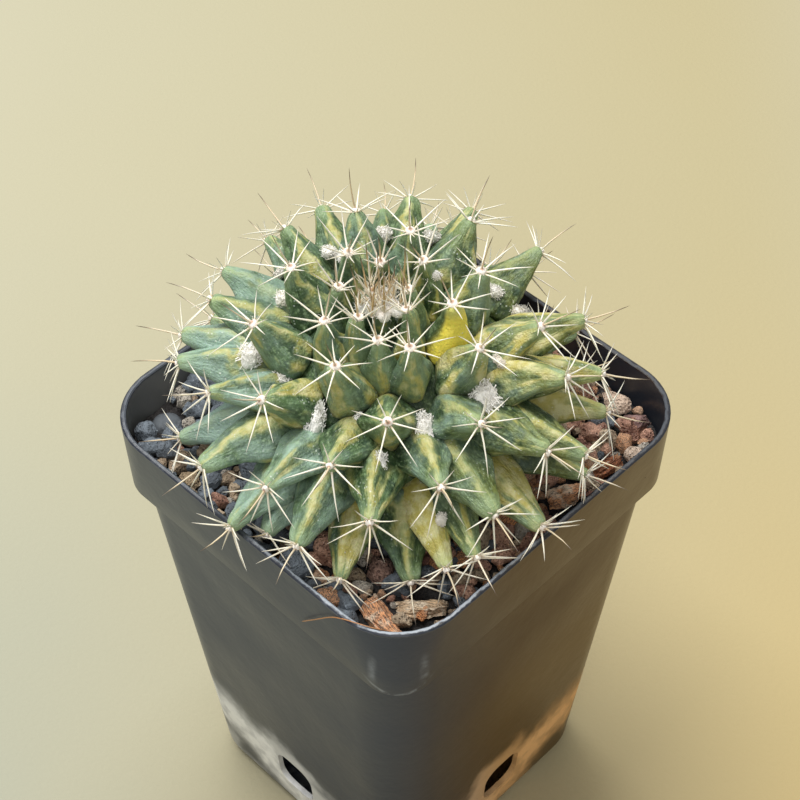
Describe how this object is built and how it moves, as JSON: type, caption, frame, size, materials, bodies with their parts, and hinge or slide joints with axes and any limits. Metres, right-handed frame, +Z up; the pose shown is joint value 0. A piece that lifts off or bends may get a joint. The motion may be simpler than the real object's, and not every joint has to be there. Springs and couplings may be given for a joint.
{
  "type": "potted mammillaria marksiana",
  "caption": "Low clumping cactus with pointed keeled tubercles, spine stars and grit, in a tapered square plastic nursery pot with a banded rim and drain holes.",
  "frame": {"origin": "middle of the pot's flat underside, on the surface it stands on", "axes": "+Z up; +X and -Y are the two pot walls that face the viewer, with their shared corner nearest"},
  "size_m": [0.0832, 0.084, 0.1304],
  "materials": {
    "pot_plastic": "worn satin black with pale mineral stains at the foot",
    "grit": "rough mixed grit",
    "plant": "waxy green skin with cream streaks",
    "bark": "rough orange bark",
    "tan_stone": "rough tan stone",
    "lava": "porous purple-brown lava",
    "grey_stone": "smooth dark grey stone",
    "cream_stone": "pale pumice"
  },
  "bodies": {
    "root": {"pot": "pot_plastic", "soil": "grit", "cactus": "plant", "bark_chip": "bark", "tan_chip": "tan_stone", "lava_lump": "lava", "grey_pebble": "grey_stone", "beige_lump": "tan_stone", "cream_chunk": "cream_stone", "mauve_lump": "lava", "cream_pebble": "cream_stone", "red_chip": "bark", "orange_chip": "bark"}
  },
  "joints": []
}
